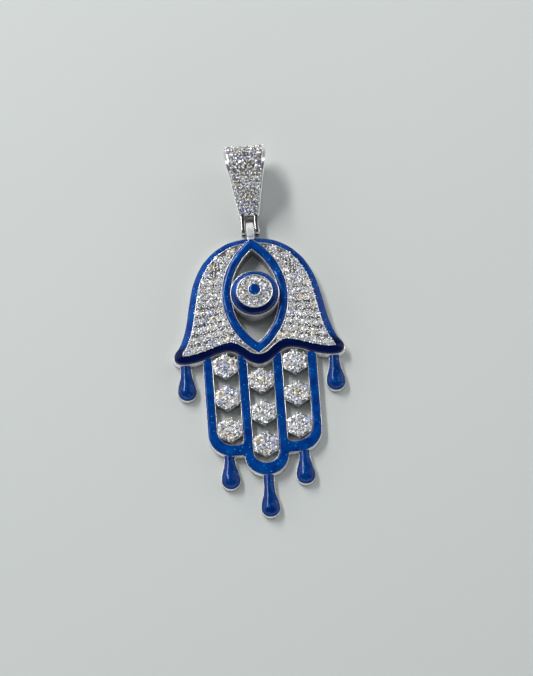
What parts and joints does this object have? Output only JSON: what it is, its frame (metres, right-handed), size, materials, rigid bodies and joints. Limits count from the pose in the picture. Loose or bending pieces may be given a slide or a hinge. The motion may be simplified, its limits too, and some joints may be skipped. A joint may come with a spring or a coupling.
{
  "type": "hamsa pendant",
  "caption": "Hand-shaped pendant with a pierced eye opening, blue enamel, set white stones, hanging drops and a hinged tapered bail.",
  "frame": {"origin": "under the middle of the whole length with the bail laid straight, on the flat back plane", "axes": "+X to the pendant's right seen from the front, +Y from the fingers to the bail, +Z out of the face"},
  "size_m": [0.0272, 0.063, 0.0072],
  "materials": {
    "silver": "polished, rhodium-plated silver",
    "enamel": "glossy domed blue enamel",
    "stone": "clear white cut stones"
  },
  "bodies": {
    "pendant": {"pendant_casting": "silver", "palm_enamel": "enamel", "almond_enamel": "enamel", "eye_ring_enamel": "enamel", "pupil_enamel": "enamel", "finger_enamel": "enamel", "drop_enamel_1": "enamel", "drop_enamel_2": "enamel", "drop_enamel_3": "enamel", "drop_enamel_4": "enamel", "drop_enamel_5": "enamel", "palm_stones_left": "stone", "palm_stones_right": "stone", "eye_stones": "stone", "cluster_stones_1": "stone", "cluster_stones_2": "stone", "cluster_stones_3": "stone", "cluster_stones_4": "stone", "cluster_stones_5": "stone", "cluster_stones_6": "stone", "cluster_stones_7": "stone", "cluster_stones_8": "stone", "cluster_stones_9": "stone"},
    "bail": {"bail": "silver", "bail_stones": "stone", "hinge_pin": "silver"}
  },
  "joints": [
    {"name": "bail_swing", "type": "hinge", "parent": "pendant", "child": "bail", "pos_m": [0, 0.01789, 0.0014], "axis": [1, 0, 0], "range_deg": [-100, 100]}
  ]
}
